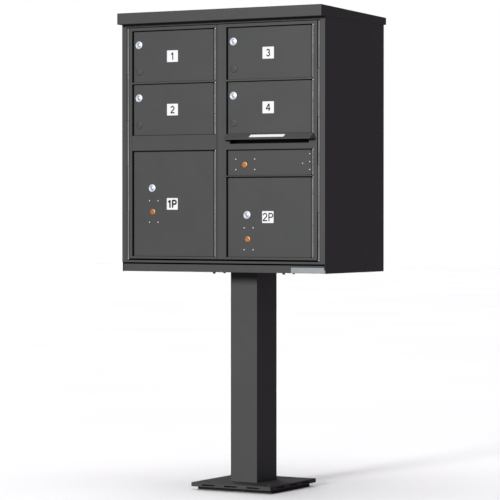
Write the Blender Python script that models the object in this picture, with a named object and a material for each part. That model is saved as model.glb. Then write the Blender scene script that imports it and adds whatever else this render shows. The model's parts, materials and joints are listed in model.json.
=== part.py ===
"""A pedestal cluster mailbox: four tenant compartments, two parcel lockers and an outgoing mail slot.

Metres, +Z up, front towards -Y. The origin is the middle of the footprint, on the ground.
Heights are written as heights above the metal base's underside, and above() adds the pad below it.
"""

import math

import bmesh
import bpy
from mathutils import Matrix, Vector

# ---------------------------------------------------------------- driving dimensions
PAD_THICK = 0.012  # how much of the pad shows below the base
HEIGHT = 1.5748  # metal base underside to the front edge of the hood
DEPTH = 0.4572  # over the hood
HOOD_WIDTH = 0.7747
HOOD_FRONT_OVERHANG = 0.029
CABINET_WIDTH = 0.7707
CABINET_DEPTH = 0.414
CABINET_BOTTOM = 0.7142
PANEL_TOP = 1.5515
SHEET = 0.0015  # cabinet panels
SHELF_SHEET = 0.0012
GAP = 0.0003  # between pieces that touch
REACH = 0.05  # how far a cutter runs past the piece it cuts

FRONT = -DEPTH / 2 + HOOD_FRONT_OVERHANG  # the cabinet's front plane
BACK = FRONT + CABINET_DEPTH
HALF_WIDTH = CABINET_WIDTH / 2

# hood
HOOD_SKIRT = 1.5371
HOOD_BACK_TOP = 1.5609
HOOD_SHEET = 0.0016

# pedestal
BASE_SIZE = (0.302, 0.312, 0.0135)
BASE_Y = 0.0152
BASE_WALL = 0.003  # the base is a pan, open below
BASE_TOP_SHEET = 0.0045
BASE_SLOT = (0.048, 0.0048, 0.006)  # length, height, depth into the edge
BASE_SLOT_RISE = 0.0062  # its middle above the base's underside
BASE_SLOT_PITCH = 0.0855
ANCHOR_HOLE_RADIUS = 0.0095
ANCHOR_X = 0.115
ANCHOR_Y = 0.108
PAD_SIZE = (0.285, 0.254)
POST_SIZE = (0.1016, 0.1346)
POST_WALL = 0.0032
POST_Y = 0.0141
TOP_PLATE_SIZE = (0.320, 0.150, 0.006)
STUD_X = 0.134
STUD_Y = 0.034
STUD_RADIUS = 0.0045
STUD_HOLE_RADIUS = 0.0055
STUD_DROP = 0.009  # below the cabinet's bottom edge
STUD_NUT = (0.009, 0.007)  # radius, thickness
BOTTOM_RECESS = 0.0158  # the bottom panel's underside above the cabinet's bottom edge
FLANGE = 0.014  # the panels' inward lips along the cabinet's bottom edge
FLANGE_FRONT = FRONT + 0.025

# face frame, sill and bottom rail
FACE_THICK = 0.002
WINDOW_HALF = 0.367
WINDOW_BOTTOM = 0.7518
WINDOW_TOP = 1.528
FACE_BOTTOM = 0.7447
JAMB_THICK = 0.0016
JAMB_DEPTH = 0.022
RAIL_BOTTOM = 0.715
RAIL_TOP = 0.7394
RAIL_HALF = 0.3817
RAIL_RECESS = 0.0027
RAIL_DEPTH = 0.018
RAIL_WALL = 0.002
PLATE_LEFT = 0.260
PLATE_BOTTOM = 0.7148
PLATE_TOP = 0.7335
PLATE_THICK = 0.001

# master doors
MASTER_DEPTH = 0.020
MASTER_BOTTOM = 0.7576
MASTER_TOP = 1.5255
MASTER_OUTER = 0.357
MASTER_INNER_TOP = 1.5157
MASTER_INNER_BOTTOM = 0.765
MEETING_LEFT = -0.0168
MEETING_RIGHT = -0.0152
MASTER_HINGE_X = 0.3625
FILLER_BOTTOM = 1.1165
FILLER_TOP = 1.1665
FILLER_SHEET = 0.0012
FILLER_LEDGE = 0.006  # the frame behind the filler's edge
STILE_WALL = 0.0035  # the right master's hollow middle stile

# hinges
HINGE_RECESS = 0.0038  # a hinge axis behind the front plane
BARREL_RADIUS = 0.0033
PIN_RADIUS = 0.0015
PIN_HOLE_RADIUS = 0.0018
PIN_HEAD_RADIUS = 0.004
PIN_HEAD_HEIGHT = 0.004
HINGE_Y = FRONT + HINGE_RECESS
WEB_HALF = 0.0012  # half the thickness of the leaf that holds a barrel
PIN_RELIEF = 0.003  # a master pin's bore beyond its door's ends

# the two columns of compartment doors
COLUMN_PITCH = 0.3647
OPENING_LEFT = -0.346
OPENING_RIGHT = -0.020
DOOR_LEFT = -0.3415
DOOR_RIGHT = -0.0337
DOOR_HINGE_X = -0.0243
DOOR_RECESS = 0.006
DOOR_SHEET = 0.0023
DOOR_RETURN = 0.010
RETURN_SHEET = 0.0016
LEAF_STEP = 0.0002  # the hinge leaf stands this far behind the door's sheet
BARREL_WEB = 0.0022  # half the width of the web from leaf to barrel
LIP_WIDTH = 0.008
LIP_HEIGHT = 0.0035
LIP_THICK = 0.003
DOOR_FACE = FRONT + DOOR_RECESS
DOOR_BACK = DOOR_FACE + DOOR_SHEET
COLUMNS = {"left": 0.0, "right": COLUMN_PITCH}

# name: column, opening bottom, opening top, door bottom, door top
DOORS = {
    "tenant_door_1": ("left", 1.3440, 1.5157, 1.3450, 1.5120),
    "tenant_door_2": ("left", 1.1670, 1.3386, 1.1680, 1.3355),
    "tenant_door_3": ("right", 1.3440, 1.5157, 1.3450, 1.5120),
    "tenant_door_4": ("right", 1.1670, 1.3386, 1.1680, 1.3355),
    "parcel_door_1": ("left", 0.7650, 1.1160, 0.7660, 1.1120),
    "parcel_door_2": ("right", 0.7650, 1.0276, 0.7660, 1.0230),
    "outgoing_door": ("right", 1.0310, 1.1160, 1.0320, 1.1120),
}

# locks
TENANT_LOCK_INSET = 0.0203  # lock axis from its door's left edge
TENANT_LOCK_DROP = 0.0438  # lock axis below its door's top
PLUG_DROP = 0.132  # hole plug below its door's top
PARCEL_LOCK_INSET = 0.0718
PARCEL_LOCK_DROP = 0.1203
CARRIER_LOCK_DROP = 0.1998
PARCEL_PLATE_INSET = 0.0771  # middle of the carrier lock's stud pattern
PARCEL_PLATE_DROP = 0.1985
BEZEL_RADIUS = 0.0137
LOCK_BARREL_RADIUS = 0.0093
LOCK_BARREL_DEPTH = 0.0135  # behind the door's face
NUT_RADIUS = 0.013
NUT_THICK = 0.0024
ROTOR_RADIUS = 0.0062
ROTOR_BORE = 0.0065
ROTOR_PROUD = 0.0022
BEZEL_PROUD = 0.0026
KEYWAY = (0.0016, 0.0072, 0.005)  # width, height, depth
KEYWAY_DROP = 0.0052  # its lower end below the lock's axis
CAM_WIDTH = 0.012
CAM_THICK = 0.002
CAM_BACKSET = 0.0002  # the cam's back face in front of its shaft's end
CAM_Y = FRONT + MASTER_DEPTH + 0.0004
TENANT_CAM = 0.0262
PARCEL_CAM = 0.0775
CARRIER_CAM = 0.030
CARRIER_CAM_Y = FRONT + 0.0135
CARRIER_HEAD_RADIUS = 0.011
CARRIER_SHAFT_RADIUS = 0.007
CARRIER_HEAD_PROUD = 0.0014
CARRIER_SLIT = (0.011, 0.0018, 0.0015)
BRACKET_THICK = 0.002
BRACKET_MARGIN = 0.0075
STUD_HEAD_RADIUS = 0.003
STUD_HEAD_HEIGHT = 0.0012
RIVET_RADIUS = 0.0017
RIVET_HOLE_RADIUS = 0.0021
PARCEL_STUDS = (0.0335, 0.0715)
ARROW_STUDS = (0.0712, 0.0338)
ARROW_LOCK = (0.0835, 1.0658)
ARROW_PLATE = (0.0874, 1.0668)
HOLE_CLEARANCE = 0.0004
HOLE_PLUG_RADIUS = 0.0135
HOLE_PLUG_CROWN = 0.0125
HOLE_PLUG_HEIGHT = 0.0016
HOLE_PLUG_SHANK = 0.009
HOLE_PLUG_REACH = 0.004  # its shank behind the door's sheet

# outgoing mail slot
SLOT_LEFT = 0.033
SLOT_RIGHT = 0.327
SLOT_BOTTOM = 1.1344
SLOT_TOP = 1.1580
SLOT_HOOD_LEFT = 0.021
SLOT_HOOD_RIGHT = 0.345
SLOT_HOOD_TOP = 1.166
SLOT_HOOD_LIP_TOP = 1.150
SLOT_HOOD_LIP_BOTTOM = 1.1475
SLOT_HOOD_REACH = 0.028
SLOT_HOOD_FLARE = 0.009
SLOT_HOOD_SHEET = 0.0015
SLOT_POCKET_BOTTOM = 1.1225  # the frame is hollow behind the slot
SLOT_POCKET_TOP = 1.1605
SLOT_POCKET_MARGIN = 0.004
BAFFLE_LENGTH = 0.042
BAFFLE_TOP = 1.164
BAFFLE_LEAN = math.radians(20)
LABEL_SIZE = (0.128, 0.0165, 0.0005)
LABEL_X = 0.180
LABEL_ALONG = 0.47  # the label's middle, as a share of the slope from the wall

ROUND = 16
SMALL_ROUND = 10

# shelves: name, column, height
SHELVES = (
    ("shelf_1", "left", 1.3413),
    ("shelf_2", "left", 1.1655),
    ("shelf_3", "right", 1.3413),
    ("shelf_4", "right", 1.1655),
    ("shelf_5", "right", 1.0293),
)
SHELF_FRONT = FRONT + 0.026
SHELF_LIP = 0.010
INSIDE_BACK = BACK - SHEET - GAP


def above(height):
    """World Z of a height above the metal base's underside."""
    return PAD_THICK + height


# ---------------------------------------------------------------- scene and materials
for old in list(bpy.data.objects):
    bpy.data.objects.remove(old)

PARTS = bpy.data.collections.new("cluster_mailbox")
CUTTERS = bpy.data.collections.new("cutters")
PIVOTS = bpy.data.collections.new("pivots")
for collection in (PARTS, CUTTERS, PIVOTS):
    bpy.context.scene.collection.children.link(collection)


def make_material(name, color, roughness, metallic):
    material = bpy.data.materials.new(name)
    material.use_nodes = True
    shader = material.node_tree.nodes["Principled BSDF"]
    shader.inputs["Base Color"].default_value = (*color, 1.0)
    shader.inputs["Roughness"].default_value = roughness
    shader.inputs["Metallic"].default_value = metallic
    return material


POWDER_COAT = make_material("powder_coat", (0.085, 0.088, 0.083), 0.45, 0.0)
LOCK_CHROME = make_material("lock_chrome", (0.78, 0.80, 0.83), 0.22, 1.0)
LOCK_BRASS = make_material("lock_brass", (0.62, 0.30, 0.11), 0.30, 1.0)
ZINC = make_material("zinc_steel", (0.60, 0.61, 0.60), 0.35, 1.0)
PLATE_SILVER = make_material("plate_silver", (0.42, 0.45, 0.46), 0.40, 1.0)
LABEL_WHITE = make_material("label_white", (0.85, 0.85, 0.85), 0.50, 0.0)
RUBBER = make_material("rubber", (0.012, 0.012, 0.012), 0.85, 0.0)


# ---------------------------------------------------------------- shapes
def add_box(mesh, low, high):
    """Adds a box between two corners to a bmesh."""
    low, high = Vector(low), Vector(high)
    place = Matrix.Translation((low + high) / 2) @ Matrix.Diagonal((*(high - low), 1.0))
    bmesh.ops.create_cube(mesh, size=1.0, matrix=place)


def add_rod(mesh, axis, centre, radius, start, end, sides=ROUND):
    """Adds a round bar along Y or Z; centre holds its two other coordinates, start and end its ends."""
    middle, length = (start + end) / 2, end - start
    if axis == "Y":
        place = Matrix.Translation((centre[0], middle, centre[1])) @ Matrix.Rotation(math.pi / 2, 4, "X")
    else:
        place = Matrix.Translation((centre[0], centre[1], middle))
    bmesh.ops.create_cone(
        mesh, cap_ends=True, segments=sides, radius1=radius, radius2=radius, depth=length, matrix=place
    )


def finish_mesh(mesh, name, material=None):
    data = bpy.data.meshes.new(name)
    mesh.to_mesh(data)
    mesh.free()
    if material:
        data.materials.append(material)
    return data


def part(name, mesh, material):
    """A named piece of the mailbox, from a bmesh in world coordinates."""
    piece = bpy.data.objects.new(name, finish_mesh(mesh, name, material))
    PARTS.objects.link(piece)
    return piece


def tool(name, mesh):
    """A hidden shape that a Boolean uses."""
    shape = bpy.data.objects.new(name, finish_mesh(mesh, name))
    shape.hide_render = True
    shape.display_type = "WIRE"
    CUTTERS.objects.link(shape)
    return shape


def combine(piece, operation, mesh):
    """Adds a Boolean of the given bmesh to a piece."""
    index = len(piece.modifiers)
    modifier = piece.modifiers.new(f"{operation.lower()}_{index}", "BOOLEAN")
    modifier.operation = operation
    modifier.solver = "EXACT"
    modifier.object = tool(f"{piece.name}_{operation.lower()}_{index}", mesh)


def boxes(*corners):
    mesh = bmesh.new()
    for low, high in corners:
        add_box(mesh, low, high)
    return mesh


def rods(axis, radius, start, end, centres, sides=ROUND):
    mesh = bmesh.new()
    for centre in centres:
        add_rod(mesh, axis, centre, radius, start, end, sides)
    return mesh


def box_part(name, low, high, material=POWDER_COAT):
    return part(name, boxes((low, high)), material)


def pivot(name, place, parent=None):
    """An empty on a joint's axis, which the moving pieces hang from."""
    empty = bpy.data.objects.new(name, None)
    empty.empty_display_size = 0.05
    PIVOTS.objects.link(empty)
    empty.location = place
    bpy.context.view_layer.update()
    if parent:
        hang(empty, parent)
    return empty


def hang(child, parent):
    """Parents child to parent and leaves it where it is."""
    bpy.context.view_layer.update()
    child.parent = parent
    child.matrix_parent_inverse = parent.matrix_world.inverted()


# ---------------------------------------------------------------- pedestal
def corners_of(x, y, centre_y):
    return [(sx * x, centre_y + sy * y) for sx in (-1, 1) for sy in (-1, 1)]


def build_pad():
    """The pad under the post: it reaches up into the base's pan and carries its top."""
    half_x, half_y = PAD_SIZE[0] / 2, PAD_SIZE[1] / 2
    top = above(BASE_SIZE[2] - BASE_TOP_SHEET) - GAP
    pad = box_part("mounting_pad", (-half_x, BASE_Y - half_y, 0), (half_x, BASE_Y + half_y, top), RUBBER)
    holes = corners_of(ANCHOR_X, ANCHOR_Y, BASE_Y)
    combine(pad, "DIFFERENCE", rods("Z", ANCHOR_HOLE_RADIUS, -REACH, REACH, holes))


def build_base():
    half_x, half_y, thick = BASE_SIZE[0] / 2, BASE_SIZE[1] / 2, BASE_SIZE[2]
    length, height, depth = BASE_SLOT
    base = box_part(
        "base_plate", (-half_x, BASE_Y - half_y, above(0)), (half_x, BASE_Y + half_y, above(thick))
    )
    middle = above(BASE_SLOT_RISE)
    low_z, high_z = middle - height / 2, middle + height / 2
    slots = []
    for k in (-1, 0, 1):
        start, end = k * BASE_SLOT_PITCH - length / 2, k * BASE_SLOT_PITCH + length / 2
        for side in (-1, 1):
            y = sorted((BASE_Y + side * (half_y - depth), BASE_Y + side * (half_y + REACH)))
            slots.append(((start, y[0], low_z), (end, y[1], high_z)))
            x = sorted((side * (half_x - depth), side * (half_x + REACH)))
            slots.append(((x[0], BASE_Y + start, low_z), (x[1], BASE_Y + end, high_z)))
    inner_x, inner_y = half_x - BASE_WALL, half_y - BASE_WALL
    hollow_low = (-inner_x, BASE_Y - inner_y, above(-REACH))
    hollow_high = (inner_x, BASE_Y + inner_y, above(thick - BASE_TOP_SHEET))
    combine(base, "DIFFERENCE", boxes((hollow_low, hollow_high)))
    combine(base, "DIFFERENCE", boxes(*slots))
    holes = corners_of(ANCHOR_X, ANCHOR_Y, BASE_Y)
    combine(base, "DIFFERENCE", rods("Z", ANCHOR_HOLE_RADIUS, -REACH, REACH, holes))


def build_post():
    half_x, half_y = POST_SIZE[0] / 2, POST_SIZE[1] / 2
    bottom = above(BASE_SIZE[2]) + GAP
    top = above(CABINET_BOTTOM + BOTTOM_RECESS) - 2 * GAP - TOP_PLATE_SIZE[2]
    post = box_part("pedestal_post", (-half_x, POST_Y - half_y, bottom), (half_x, POST_Y + half_y, top - GAP))
    inner_x, inner_y = half_x - POST_WALL, half_y - POST_WALL
    hollow = boxes(((-inner_x, POST_Y - inner_y, bottom - REACH), (inner_x, POST_Y + inner_y, top + REACH)))
    combine(post, "DIFFERENCE", hollow)
    half_x, half_y = TOP_PLATE_SIZE[0] / 2, TOP_PLATE_SIZE[1] / 2
    plate = box_part(
        "pedestal_top_plate",
        (-half_x, POST_Y - half_y, top),
        (half_x, POST_Y + half_y, top + TOP_PLATE_SIZE[2]),
    )
    holes = corners_of(STUD_X, STUD_Y, POST_Y)
    combine(plate, "DIFFERENCE", rods("Z", STUD_HOLE_RADIUS, top - REACH, top + REACH, holes))


# ---------------------------------------------------------------- cabinet
def build_panels():
    low, high = above(CABINET_BOTTOM), above(PANEL_TOP)
    front = FRONT + FACE_THICK + GAP
    for name, side in (("side_panel_left", -1), ("side_panel_right", 1)):
        x = sorted((side * HALF_WIDTH, side * (HALF_WIDTH - SHEET)))
        panel = box_part(name, (x[0], front, low), (x[1], BACK, high))
        lip = sorted((side * (HALF_WIDTH - SHEET / 2), side * (HALF_WIDTH - FLANGE)))
        combine(panel, "UNION", boxes(((lip[0], FLANGE_FRONT, low), (lip[1], INSIDE_BACK, low + SHEET))))
    inner = HALF_WIDTH - SHEET - GAP
    back = box_part("back_panel", (-inner, BACK - SHEET, low), (inner, BACK, high))
    clear = HALF_WIDTH - FLANGE - SHEET
    foot = boxes(((-clear, BACK - FLANGE, low), (clear, BACK - SHEET / 2, low + SHEET)))
    combine(back, "UNION", foot)
    top = high - SHEET
    box_part("top_panel", (-inner, FRONT + JAMB_DEPTH + GAP, top), (inner, INSIDE_BACK, high))
    floor = low + BOTTOM_RECESS
    floor_low = (-inner, FRONT + JAMB_DEPTH + GAP, floor)
    bottom = box_part("bottom_panel", floor_low, (inner, INSIDE_BACK, floor + SHEET))
    studs = corners_of(STUD_X, STUD_Y, POST_Y)
    combine(bottom, "UNION", rods("Z", STUD_RADIUS, low - STUD_DROP, floor + SHEET / 2, studs, SMALL_ROUND))
    nut_radius, nut_thick = STUD_NUT
    nut_top = floor - 3 * GAP - TOP_PLATE_SIZE[2]
    combine(bottom, "UNION", rods("Z", nut_radius, nut_top - nut_thick, nut_top, studs, 6))


def wedge(half_x, front, back, bottom, top_front, top_back):
    """A box whose top slopes from front to back."""
    mesh = boxes(((-half_x, front, bottom), (half_x, back, top_front)))
    middle = (bottom + top_front) / 2
    for corner in mesh.verts:
        if corner.co.z > middle and corner.co.y > 0:
            corner.co.z = top_back
    return mesh


def build_hood():
    half_x, half_y = HOOD_WIDTH / 2, DEPTH / 2
    skirt, top_front, top_back = above(HOOD_SKIRT), above(HEIGHT), above(HOOD_BACK_TOP)
    hood = part("hood", wedge(half_x, -half_y, half_y, skirt, top_front, top_back), POWDER_COAT)
    t = HOOD_SHEET
    hollow = wedge(half_x - t, -half_y + t, half_y - t, skirt - REACH, top_front - t, top_back - t)
    combine(hood, "DIFFERENCE", hollow)


def knuckle_spans(bottom, top, count):
    """Equal stretches of a hinge, with a small gap between them."""
    length = (top - bottom) / count
    return [(bottom + k * length + GAP, bottom + (k + 1) * length - GAP) for k in range(count)]


def add_knuckles(piece, x, spans, web_to, web_low, web_high):
    """Fuses hinge barrels at x, and the webs that join them to the piece, along Z spans."""
    webs = bmesh.new()
    barrels = bmesh.new()
    left, right = sorted((x, web_to))
    for low, high in spans:
        add_box(webs, (left, web_low, low), (right, web_high, high))
        add_rod(barrels, "Z", (x, HINGE_Y), BARREL_RADIUS, low, high, SMALL_ROUND)
    combine(piece, "UNION", webs)
    combine(piece, "UNION", barrels)


def bore_for_pin(piece, x, low, high):
    combine(piece, "DIFFERENCE", rods("Z", PIN_HOLE_RADIUS, low, high, [(x, HINGE_Y)], SMALL_ROUND))


def build_pin(name, x, low, high):
    return part(name, rods("Z", PIN_RADIUS, low, high, [(x, HINGE_Y)], SMALL_ROUND), ZINC)


def build_column_pin(side, x):
    """The one pin that all of a column's doors hang on."""
    return build_pin(f"{side}_column_pin", x, above(MASTER_INNER_BOTTOM) + GAP, above(MASTER_INNER_TOP))


def build_master_pin(side, x):
    """A master door's pin, with the round head that shows at its foot."""
    low = above(MASTER_BOTTOM)
    pin = build_pin(f"{side}_master_pin", x, low - PIN_HEAD_HEIGHT / 2, above(MASTER_TOP))
    head = rods("Z", PIN_HEAD_RADIUS, low - PIN_HEAD_HEIGHT, low - GAP, [(x, HINGE_Y)], SMALL_ROUND)
    combine(pin, "UNION", head)


MASTER_KNUCKLES = knuckle_spans(above(MASTER_BOTTOM), above(MASTER_TOP), 5)


def build_face_frame():
    low, high = above(FACE_BOTTOM), above(PANEL_TOP)
    frame = box_part("face_frame", (-HALF_WIDTH, FRONT, low), (HALF_WIDTH, FRONT + FACE_THICK, high))
    outer_x = WINDOW_HALF + JAMB_THICK
    outer_low = (-outer_x, FRONT + FACE_THICK / 2, above(WINDOW_BOTTOM) - JAMB_THICK)
    outer_high = (outer_x, FRONT + JAMB_DEPTH, above(WINDOW_TOP) + JAMB_THICK)
    combine(frame, "UNION", boxes((outer_low, outer_high)))
    window_low = (-WINDOW_HALF, FRONT - REACH, above(WINDOW_BOTTOM))
    window_high = (WINDOW_HALF, FRONT + REACH, above(WINDOW_TOP))
    combine(frame, "DIFFERENCE", boxes((window_low, window_high)))
    for side in (-1, 1):
        x = side * MASTER_HINGE_X
        web_to = side * (WINDOW_HALF + JAMB_THICK / 2)
        add_knuckles(frame, x, MASTER_KNUCKLES[0::2], web_to, HINGE_Y - WEB_HALF, HINGE_Y + WEB_HALF)
        bore_for_pin(frame, x, above(MASTER_BOTTOM) - PIN_RELIEF, above(MASTER_TOP) + PIN_RELIEF)
    build_master_pin("left", -MASTER_HINGE_X)
    build_master_pin("right", MASTER_HINGE_X)


def build_bottom_rail():
    face, low, high = FRONT + RAIL_RECESS, above(RAIL_BOTTOM), above(RAIL_TOP)
    rail = box_part("bottom_rail", (-RAIL_HALF, face, low), (RAIL_HALF, face + RAIL_DEPTH, high))
    pocket_low = (-RAIL_HALF - REACH, face + RAIL_WALL, low + RAIL_WALL)
    pocket_high = (RAIL_HALF + REACH, face + REACH, high - RAIL_WALL)
    combine(rail, "DIFFERENCE", boxes((pocket_low, pocket_high)))
    plate_low = (PLATE_LEFT, face - GAP - PLATE_THICK, above(PLATE_BOTTOM))
    plate_high = (RAIL_HALF, face - GAP, above(PLATE_TOP))
    box_part("certificate_plate", plate_low, plate_high, PLATE_SILVER)


def build_inside():
    floor = above(CABINET_BOTTOM) + BOTTOM_RECESS + SHEET + GAP
    ceiling = above(PANEL_TOP) - SHEET - GAP
    half = SHEET / 2
    box_part("centre_divider", (-half, SHELF_FRONT, floor), (half, INSIDE_BACK, ceiling))
    wall = HALF_WIDTH - SHEET - GAP
    sides = {"left": (-wall, -half - GAP), "right": (half + GAP, wall)}
    for name, column, height in SHELVES:
        left, right = sides[column]
        z = above(height)
        shelf = box_part(name, (left, SHELF_FRONT, z - SHELF_SHEET), (right, INSIDE_BACK, z))
        lip_low = (left, SHELF_FRONT, z - SHELF_LIP)
        lip_high = (right, SHELF_FRONT + SHELF_SHEET, z - SHELF_SHEET / 2)
        combine(shelf, "UNION", boxes((lip_low, lip_high)))


# ---------------------------------------------------------------- master doors
def doors_in(column):
    return [(name, spec) for name, spec in DOORS.items() if spec[0] == column]


def door_knuckles(spec):
    return knuckle_spans(above(spec[3]), above(spec[4]), 5)


def build_master(side, column, left, right):
    """A master door frame, with a stepped opening and hinge knuckles for each compartment door."""
    frame = box_part(
        f"{side}_master_frame",
        (left, FRONT, above(MASTER_BOTTOM)),
        (right, FRONT + MASTER_DEPTH, above(MASTER_TOP)),
    )
    opening_left, opening_right = OPENING_LEFT + COLUMNS[column], OPENING_RIGHT + COLUMNS[column]
    lip = FRONT + MASTER_DEPTH - LIP_THICK
    wide, narrow = [], []
    for low, high in ((above(spec[1]), above(spec[2])) for _, spec in doors_in(column)):
        wide.append(((opening_left, FRONT - REACH, low), (opening_right, lip, high)))
        narrow_low = (opening_left + LIP_WIDTH, lip - LIP_THICK / 2, low + LIP_HEIGHT)
        narrow.append((narrow_low, (opening_right, FRONT + REACH, high - LIP_HEIGHT)))
    combine(frame, "DIFFERENCE", boxes(*wide))
    combine(frame, "DIFFERENCE", boxes(*narrow))
    web_low, web_high = HINGE_Y - WEB_HALF, HINGE_Y + WEB_HALF
    outer = -1 if side == "left" else 1
    x = outer * MASTER_HINGE_X
    add_knuckles(frame, x, MASTER_KNUCKLES[1::2], outer * (MASTER_OUTER - WEB_HALF), web_low, web_high)
    bore_for_pin(frame, x, above(MASTER_BOTTOM) - PIN_RELIEF, above(MASTER_TOP) + PIN_RELIEF)
    hinge_x = DOOR_HINGE_X + COLUMNS[column]
    spans = [span for _, spec in doors_in(column) for span in door_knuckles(spec)[0::2]]
    add_knuckles(frame, hinge_x, spans, opening_right + WEB_HALF, web_low, web_high)
    bore_for_pin(frame, hinge_x, above(MASTER_INNER_BOTTOM) - WEB_HALF, above(MASTER_INNER_TOP) + WEB_HALF)
    return frame


def build_left_master(parent):
    frame = build_master("left", "left", -MASTER_OUTER, MEETING_LEFT)
    low, high = above(FILLER_BOTTOM), above(FILLER_TOP)
    seat_low = (OPENING_LEFT, FRONT - REACH, low - GAP)
    seat_high = (OPENING_RIGHT, FRONT + FILLER_SHEET + GAP, high + GAP)
    combine(frame, "DIFFERENCE", boxes((seat_low, seat_high)))
    hollow_low = (OPENING_LEFT + FILLER_LEDGE, FRONT + FILLER_LEDGE, low + FILLER_LEDGE)
    hollow_high = (OPENING_RIGHT - 2 * FILLER_LEDGE, FRONT + REACH, high - FILLER_LEDGE)
    combine(frame, "DIFFERENCE", boxes((hollow_low, hollow_high)))
    filler_low = (OPENING_LEFT + GAP, FRONT, low)
    filler_high = (OPENING_RIGHT - GAP, FRONT + FILLER_SHEET, high)
    filler = box_part("filler_panel", filler_low, filler_high)
    pin = build_column_pin("left", DOOR_HINGE_X)
    for piece in (frame, filler, pin):
        hang(piece, parent)


def build_right_master(parent):
    frame = build_master("right", "right", MEETING_RIGHT, MASTER_OUTER)
    margin = SLOT_POCKET_MARGIN
    pocket_low = (SLOT_LEFT - margin, FRONT + margin, above(SLOT_POCKET_BOTTOM))
    pocket_high = (SLOT_RIGHT + margin, FRONT + REACH, above(SLOT_POCKET_TOP))
    combine(frame, "DIFFERENCE", boxes((pocket_low, pocket_high)))
    slot_low = (SLOT_LEFT, FRONT - REACH, above(SLOT_BOTTOM))
    slot_high = (SLOT_RIGHT, FRONT + REACH, above(SLOT_TOP))
    combine(frame, "DIFFERENCE", boxes((slot_low, slot_high)))
    stile_low = (MEETING_RIGHT + STILE_WALL, FRONT + STILE_WALL, above(MASTER_INNER_BOTTOM))
    stile_right = OPENING_LEFT + COLUMN_PITCH - STILE_WALL
    combine(frame, "DIFFERENCE", boxes((stile_low, (stile_right, FRONT + REACH, above(MASTER_INNER_TOP)))))
    pin = build_column_pin("right", DOOR_HINGE_X + COLUMN_PITCH)
    for piece in (frame, pin, build_slot_hood(), build_slot_label(), build_baffle()):
        hang(piece, parent)


def flared_box(left, right, flare, wall, reach, top, lip_top, bottom):
    """The slot hood's outer form: it slopes from the wall down to a lip, and its ends flare at the wall."""
    mesh = boxes(((left, reach, bottom), (right, wall, top)))
    middle_x, middle_y, middle_z = (left + right) / 2, (wall + reach) / 2, (top + bottom) / 2
    for corner in mesh.verts:
        at_wall = corner.co.y > middle_y
        high = corner.co.z > middle_z
        if high and not at_wall:
            corner.co.z = lip_top
        if at_wall and not high:
            corner.co.x += flare if corner.co.x > middle_x else -flare
    return mesh


def build_slot_hood():
    wall, reach = FRONT - GAP, FRONT - SLOT_HOOD_REACH
    top, lip, bottom = above(SLOT_HOOD_TOP), above(SLOT_HOOD_LIP_TOP), above(SLOT_HOOD_LIP_BOTTOM)
    t = SLOT_HOOD_SHEET
    outer = flared_box(SLOT_HOOD_LEFT, SLOT_HOOD_RIGHT, SLOT_HOOD_FLARE, wall, reach, top, lip, bottom)
    hood = part("slot_hood", outer, POWDER_COAT)
    slope = (top - lip) / (wall - reach)
    under = t * math.hypot(1, slope)  # the sheet's thickness, measured along Z on the slope
    left, right = SLOT_HOOD_LEFT + t, SLOT_HOOD_RIGHT - t
    inner_top, inner_lip = top - under + t * slope, lip - under + t * slope
    inner = flared_box(left, right, SLOT_HOOD_FLARE, wall + t, reach + t, inner_top, inner_lip, bottom - t)
    combine(hood, "DIFFERENCE", inner)
    return hood


def build_slot_label():
    run, rise = SLOT_HOOD_REACH, SLOT_HOOD_TOP - SLOT_HOOD_LIP_TOP
    angle = math.atan2(rise, run)
    length, depth, thick = LABEL_SIZE
    mesh = boxes(((-length / 2, -depth / 2, 0), (length / 2, depth / 2, thick)))
    y = FRONT - GAP - run * LABEL_ALONG
    middle = Vector((LABEL_X, y, above(SLOT_HOOD_TOP) - rise * LABEL_ALONG))
    normal = Vector((0, -math.sin(angle), math.cos(angle)))
    place = Matrix.Translation(middle + normal * GAP) @ Matrix.Rotation(angle, 4, "X")
    bmesh.ops.transform(mesh, matrix=place, verts=mesh.verts)
    return part("slot_label", mesh, LABEL_WHITE)


def build_baffle():
    """The plate behind the slot that keeps a hand out: it hangs from the frame and leans inwards."""
    margin = 0.003
    low = (SLOT_LEFT - margin, 0, -BAFFLE_LENGTH)
    high = (SLOT_RIGHT + margin, SHELF_SHEET, 0)
    mesh = boxes((low, high))
    top = Matrix.Translation((0, FRONT + MASTER_DEPTH + GAP, above(BAFFLE_TOP)))
    bmesh.ops.transform(mesh, matrix=top @ Matrix.Rotation(BAFFLE_LEAN, 4, "X"), verts=mesh.verts)
    return part("mail_baffle", mesh, POWDER_COAT)


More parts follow.
